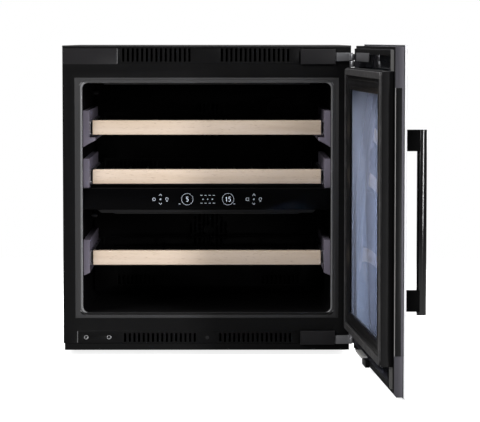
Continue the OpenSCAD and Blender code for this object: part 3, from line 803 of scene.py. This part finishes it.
def screws():
    """Screws round the edges of the rear panels, and one in the plinth grille."""
    low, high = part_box("rear_panels")
    left, right = low.x + 9 * MM, high.x - 9 * MM
    rows = (low.z + 8 * MM, high.z - 8 * MM)
    places = [(x, z) for x in (left, -90 * MM, 90 * MM, right) for z in rows]
    places += [(x, z) for z in (160 * MM, 300 * MM, 440 * MM) for x in (left, right)]
    bm = bmesh.new()
    for x, z in places:
        screw(bm, (x, high.y - 0.9 * MM, z), (0, 1, 0), 3.6 * MM, 0.85 * MM)
    mesh = to_mesh("panel_screws", bm)
    add_piece("panel_screws", mesh, ("fastener_steel",), "cabinet")
    bm = bmesh.new()
    screw(bm, (1 * MM, 0.05 * MM, 34 * MM), (0, -1, 0), 3.4 * MM, 1.2 * MM)
    mesh = to_mesh("plinth_screw", bm)
    add_piece("plinth_screw", mesh, ("cover_plastic",), "cabinet")


def seam_highlights():
    """Thin strips painted light at the left ends of the two grilles, as highlights on their edges."""
    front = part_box("front_frame")[0].y
    bm = bmesh.new()
    for grille in ("top_grille", "plinth_grille"):
        low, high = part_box(grille)
        add_box(
            bm,
            (low.x - 0.5 * MM, front - 0.15 * MM, low.z + 1 * MM),
            (low.x + 0.5 * MM, front + 0.5 * MM, high.z - 1 * MM),
        )
    mesh = to_mesh("front_seam_highlights", bm)
    add_piece("front_seam_highlights", mesh, ("rim_painted_highlight",), "cabinet", (), 0.12 * MM)


def inlet_pins():
    """Three flat pins inside the mains socket."""
    low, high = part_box("power_inlet")
    centre = (low + high) / 2
    bm = bmesh.new()
    for dx, dz in ((-7, -1.5), (7, -1.5), (0, 2.5)):
        x, z = centre.x + dx * MM, centre.z + dz * MM
        add_box(
            bm,
            (x - 1 * MM, high.y - 19 * MM, z - 2 * MM),
            (x + 1 * MM, high.y - 4 * MM, z + 2 * MM),
        )
    mesh = to_mesh("inlet_pins", bm)
    add_piece("inlet_pins", mesh, ("fastener_steel",), "cabinet", (), 0.3 * MM)


# ---------------------------------------------------------------- control panel


def add_stroke(bm, points, width, y, thick):
    """A flat line of even width through (x, z) points, standing thick in front of the plane y."""
    count = len(points)
    closed = points[0] == points[-1]
    sides = []
    for k in range(count - 1 if closed else count):
        here = Vector(points[k])
        before = Vector(points[k - 1] if k else (points[-2] if closed else points[0]))
        after = Vector(points[k + 1] if k + 1 < count else points[-1])
        run = (after - before).normalized()
        across = Vector((-run.y, run.x)) * width / 2
        sides.append([
            bm.verts.new((p.x, depth, p.y))
            for depth in (y - thick, y)
            for p in (here - across, here + across)
        ])
    following = sides[1:] + sides[:1] if closed else sides[1:]
    for a, b in zip(sides, following):
        for i, j in ((0, 1), (1, 3), (3, 2), (2, 0)):
            bm.faces.new((a[i], a[j], b[j], b[i]))
    if not closed:
        for end in (sides[0], sides[-1]):
            bm.faces.new([end[i] for i in (0, 1, 3, 2)])


def arc(x, z, radius, start=0.0, end=360.0, steps=24):
    """Points round (x, z) between two angles in degrees; a full circle ends where it starts."""
    points = []
    for k in range(steps + 1):
        a = math.radians(start + (end - start) * k / steps)
        points.append((x + radius * math.cos(a), z + radius * math.sin(a)))
    if end - start == 360:
        points[-1] = points[0]
    return points


# each digit as (x, z) in a box one unit wide and high
DIGITS = {
    "1": [(0.25, 0.78), (0.55, 1.0), (0.55, 0.0)],
    "5": [
        (0.9, 1.0), (0.2, 1.0), (0.15, 0.56), (0.55, 0.64),
        (0.88, 0.45), (0.86, 0.16), (0.5, 0.0), (0.12, 0.1),
    ],
}
# widths of the strokes in millimetres
ICON, KEY, RING, DIGIT = 0.5, 0.6, 0.34, 1.0


def legends():
    """Lit touch keys and the two temperature displays, drawn as thin strokes on the glass."""
    low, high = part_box("control_glass")
    y = low.y - 0.02 * MM
    thick = 0.12 * MM
    middle = (low.z + high.z) / 2 - 0.6 * MM
    bm = bmesh.new()

    def stroke(points, width=ICON):
        add_stroke(bm, points, width * MM, y, thick)

    def key_group(x, icon_left, icon_right):
        for sign in (1, -1):
            tip = middle + sign * 10.6 * MM
            foot = middle + sign * 7.0 * MM
            stroke([(x - 2.6 * MM, foot), (x, tip), (x + 2.6 * MM, foot)], KEY)
        stroke(arc(x, middle, 1.2 * MM, steps=12))
        icon_left(x - 12.5 * MM)
        icon_right(x + 12.5 * MM)

    def power(x):
        stroke(arc(x, middle, 2.8 * MM, -240, 60))
        stroke([(x, middle + 1 * MM), (x, middle + 3.8 * MM)])

    def lamp(x):
        stroke(arc(x, middle + 0.6 * MM, 2.5 * MM, -50, 230))
        for drop in (2.7, 3.9):
            stroke([(x - 1.4 * MM, middle - drop * MM), (x + 1.4 * MM, middle - drop * MM)])

    def square(x):
        half = 2.6 * MM
        stroke([(x - half, middle), (x - half, middle + half), (x + half, middle + half),
                (x + half, middle - half), (x - half, middle - half), (x - half, middle)])

    def display(x, text):
        stroke(arc(x, middle + 0.2 * MM, 11.1 * MM, steps=64), RING)
        wide, tall, gap = 4.6 * MM, 8.8 * MM, 1.6 * MM
        start = x - (len(text) * wide + (len(text) - 1) * gap) / 2
        for index, digit in enumerate(text):
            left = start + index * (wide + gap)
            foot = middle - tall / 2
            points = [(left + px * wide, foot + pz * tall) for px, pz in DIGITS[digit]]
            stroke(points, DIGIT)

    key_group(-90 * MM, power, lamp)
    display(-38 * MM, "5")
    display(41 * MM, "15")
    key_group(91 * MM, square, lamp)
    for x in (-53, 53):
        stroke([((x - 1.6) * MM, middle - 9 * MM), ((x + 1.6) * MM, middle - 9 * MM)], KEY)
    for lift in (7.6, -7.6):
        for column in (-10.5, -2.5, 5.5, 13.5):
            x, z = column * MM, middle + lift * MM
            stroke([(x - 2 * MM, z), (x + 2 * MM, z)], KEY)
    for column in (-7.5, 1.5, 10.5):
        stroke(arc(column * MM, middle, 0.8 * MM, steps=10))
    mesh = to_mesh("control_legends", bm)
    add_piece("control_legends", mesh, ("legend",), "cabinet")


# ---------------------------------------------------------------- door

# how far the window's border reaches in over the inner panes
PANE_BORDER = 6.5 * MM


def window():
    """Half width, bottom and top of the window on the closed door."""
    low, high = closed_box("door_panes")
    return high.x - PANE_BORDER, low.z + PANE_BORDER, high.z - PANE_BORDER


def door_glass():
    """The outer glass, its ground edges painted near white for the light that comes through them."""
    low, high = closed_box("door_glass")
    bm = bmesh.new()
    add_box(bm, low, high)
    for face in bm.faces:
        on_edge = abs(face.calc_center_median().y - (low.y + high.y) / 2) < 0.1 * MM
        face.material_index = int(on_edge)
    mesh = to_mesh("door_glass", bm, OPEN)
    piece = add_piece(
        "door_glass_sheet", mesh, ("tinted_glass", "edge_painted_light"),
        "door", ("door_glass",), 0.35 * MM,
    )
    piece.modifiers["edges"].material = 1


def glass_print():
    """The black printed border just inside the outer glass's back, greyer seen from behind."""
    low, high = closed_box("door_glass")
    margin = 0.6 * MM
    outer = (high.x - margin, low.z + margin, high.z - margin)
    near, far = high.y - 0.15 * MM, high.y - 0.03 * MM
    bm = bmesh.new()
    loops = []
    for rectangle, y in ((outer, near), (outer, far), (window(), far), (window(), near)):
        loops.append([(x, y, z) for x, z in rounded_rectangle(*rectangle, 0.5 * MM)])
    add_loops(bm, loops)
    for face in bm.faces:
        face.material_index = int(abs(face.calc_center_median().y - far) < 0.01 * MM)
    mesh = to_mesh("glass_print", bm, OPEN)
    add_piece("glass_print", mesh, ("glass_print", "print_back"), "door")


def trim_beads():
    """Metal beads along both sides of the black strip in the frame's edge; the bead on the cabinet side is painted
    light as a highlight.
    """
    low, high = closed_box("door_side_trim")
    finishes = ("door_frame_aluminium", "edge_painted_highlight")
    depths = ((low.y - 0.4 * MM, low.y + 1.8 * MM), (high.y, high.y + 1.3 * MM))
    bm = bmesh.new()
    for index, (y0, y1) in enumerate(depths):
        add_box(bm, (low.x - 0.5 * MM, y0, low.z), (high.x + 0.3 * MM, y1, high.z), index)
    mesh = to_mesh("trim_beads", bm, OPEN)
    add_piece("trim_beads", mesh, finishes, "door", (), 0.4 * MM)


# share of the way from the moulding's outer rectangle to the window, and height in millimetres
MOULDING = (
    (0.0, -0.4), (0.0, 0.5), (0.08, 1.1), (0.16, 1.1), (0.20, 0.2), (0.26, 0.2),
    (0.30, 0.9), (0.60, 1.1), (0.66, 0.3), (0.72, 0.3), (0.76, 0.9), (0.90, 0.5),
    (1.0, -0.9), (1.0, -3.6), (0.86, -3.6), (0.86, -0.6),
)


def inner_frame_moulding():
    """Ridges and a bevelled bezel round the window, on the inner frame's face."""
    low, high = closed_box("door_inner_frame")
    margin = 16 * MM
    outer, inner = (high.x - margin, low.z + margin, high.z - margin), window()
    bm = bmesh.new()
    loops = []
    for share, height in MOULDING:
        half_w, z0, z1 = (a + (b - a) * share for a, b in zip(outer, inner))
        outline = rounded_rectangle(half_w, z0, z1, (2.5 + 3 * (1 - share)) * MM)
        loops.append([(x, high.y + height * MM, z) for x, z in outline])
    add_loops(bm, loops)
    mesh = to_mesh("inner_frame_moulding", bm, OPEN)
    add_piece("inner_frame_moulding", mesh, ("door_plastic",), "door")


def gasket():
    """A bellows seal: a flat sealing face on two folded walls."""
    low, high = closed_box("door_gasket")
    root, face = low.y, high.y
    half = 6 * MM
    inner_side = [
        (-half, root), (-half, root + 0.7 * MM), (-half + 1.5 * MM, root + 1.4 * MM),
        (-half, root + 2.2 * MM), (-half, face - 0.9 * MM), (-half + 0.9 * MM, face),
    ]
    section = inner_side + [(-out, y) for out, y in reversed(inner_side)]
    bm = frame_ring(high.x - half, low.z + half, high.z - half, 4 * MM, section)
    mesh = to_mesh("door_gasket", bm, OPEN)
    add_piece(
        "door_gasket_detail", mesh, ("gasket_rubber",), "door", ("door_gasket",)
    )


def make_details():
    liner_lip()
    screws()
    inlet_pins()
    legends()
    seam_highlights()
    door_glass()
    glass_print()
    trim_beads()
    inner_frame_moulding()
    gasket()


make_camera()
make_studio()
carry_over()
make_details()
